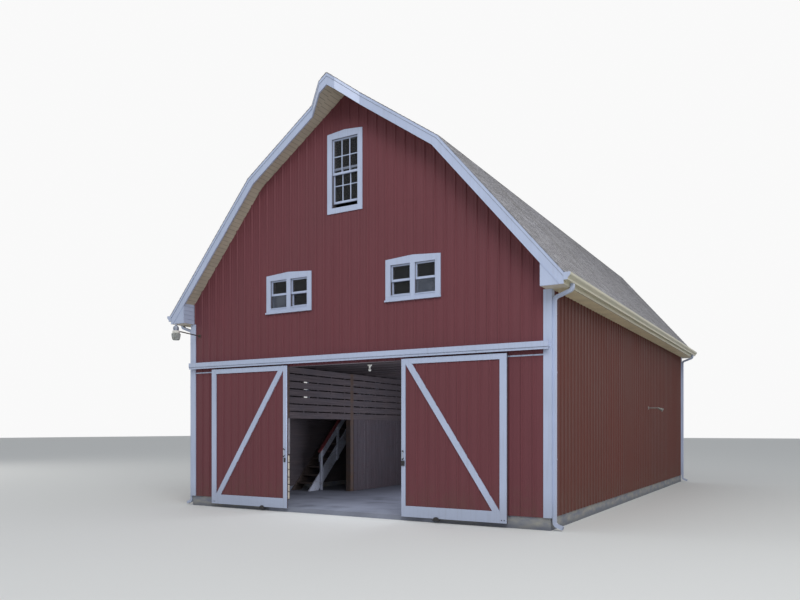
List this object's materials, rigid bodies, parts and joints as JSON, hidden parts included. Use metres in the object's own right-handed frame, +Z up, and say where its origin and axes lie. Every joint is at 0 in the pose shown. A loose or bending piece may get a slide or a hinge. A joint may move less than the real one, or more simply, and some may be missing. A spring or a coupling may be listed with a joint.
{
  "type": "gambrel barn with sliding doors",
  "caption": "Gambrel barn with ribbed siding, sliding doors on a top track, a loft with gable windows, gutters and an open front bay.",
  "frame": {"origin": "centre of the base's flat underside, at ground level", "axes": "+X to the right seen from the front, +Y from the front to the back, +Z up"},
  "size_m": [10.086, 15.8479, 9.2715],
  "materials": {
    "concrete": "rough concrete",
    "siding": "weathered red paint",
    "white_trim": "satin white",
    "white_metal": "satin white",
    "shingles": "weathered asphalt",
    "soffit": "tan paint",
    "galvanised": "galvanised",
    "sash_paint": "white paint",
    "window_glass": "clear",
    "barn_wood": "weathered boards",
    "stair_paint": "white paint",
    "rail_paint": "red paint",
    "lamp_white": "satin",
    "lamp_metal": "weathered"
  },
  "bodies": {
    "barn": {"foundation": "concrete", "floor_slab": "concrete", "front_wall_left": "siding", "front_wall_right": "siding", "front_gable": "siding", "left_wall": "siding", "right_wall": "siding", "back_wall": "siding", "corner_boards": "white_trim", "seam_strips": "white_trim", "roof_upper_left": "shingles", "roof_upper_right": "shingles", "roof_lower_left": "shingles", "roof_lower_right": "shingles", "ridge_cap": "shingles", "rake_fascia_front": "white_trim", "rake_fascia_back": "white_trim", "rake_soffits": "soffit", "eave_returns": "soffit", "eave_fascias": "white_trim", "eave_soffits": "soffit", "gutters": "white_metal", "downspouts": "white_metal", "track_cover": "white_trim", "door_track": "galvanised", "door_guides": "galvanised", "window_casings": "white_trim", "window_sashes": "sash_paint", "window_glass": "window_glass", "loft_deck": "barn_wood", "loft_joists": "barn_wood", "partition_posts": "barn_wood", "partition_boards": "barn_wood", "stair": "stair_paint", "stair_rail": "stair_paint", "stair_handrail": "rail_paint", "lampholder": "lamp_white", "yard_lamp": "lamp_metal", "side_lamp": "lamp_metal"},
    "left_door": {"left_door_panel": "siding", "left_door_frame": "white_trim", "left_door_hardware": "galvanised"},
    "right_door": {"right_door_panel": "siding", "right_door_frame": "white_trim", "right_door_hardware": "galvanised"}
  },
  "joints": [
    {"name": "left_door_slide", "type": "slide", "parent": "barn", "child": "left_door", "axis": [1, 0, 0], "range_m": [-0.7155, 1.536]},
    {"name": "right_door_slide", "type": "slide", "parent": "barn", "child": "right_door", "axis": [1, 0, 0], "range_m": [-1.448, 0.8035]}
  ]
}
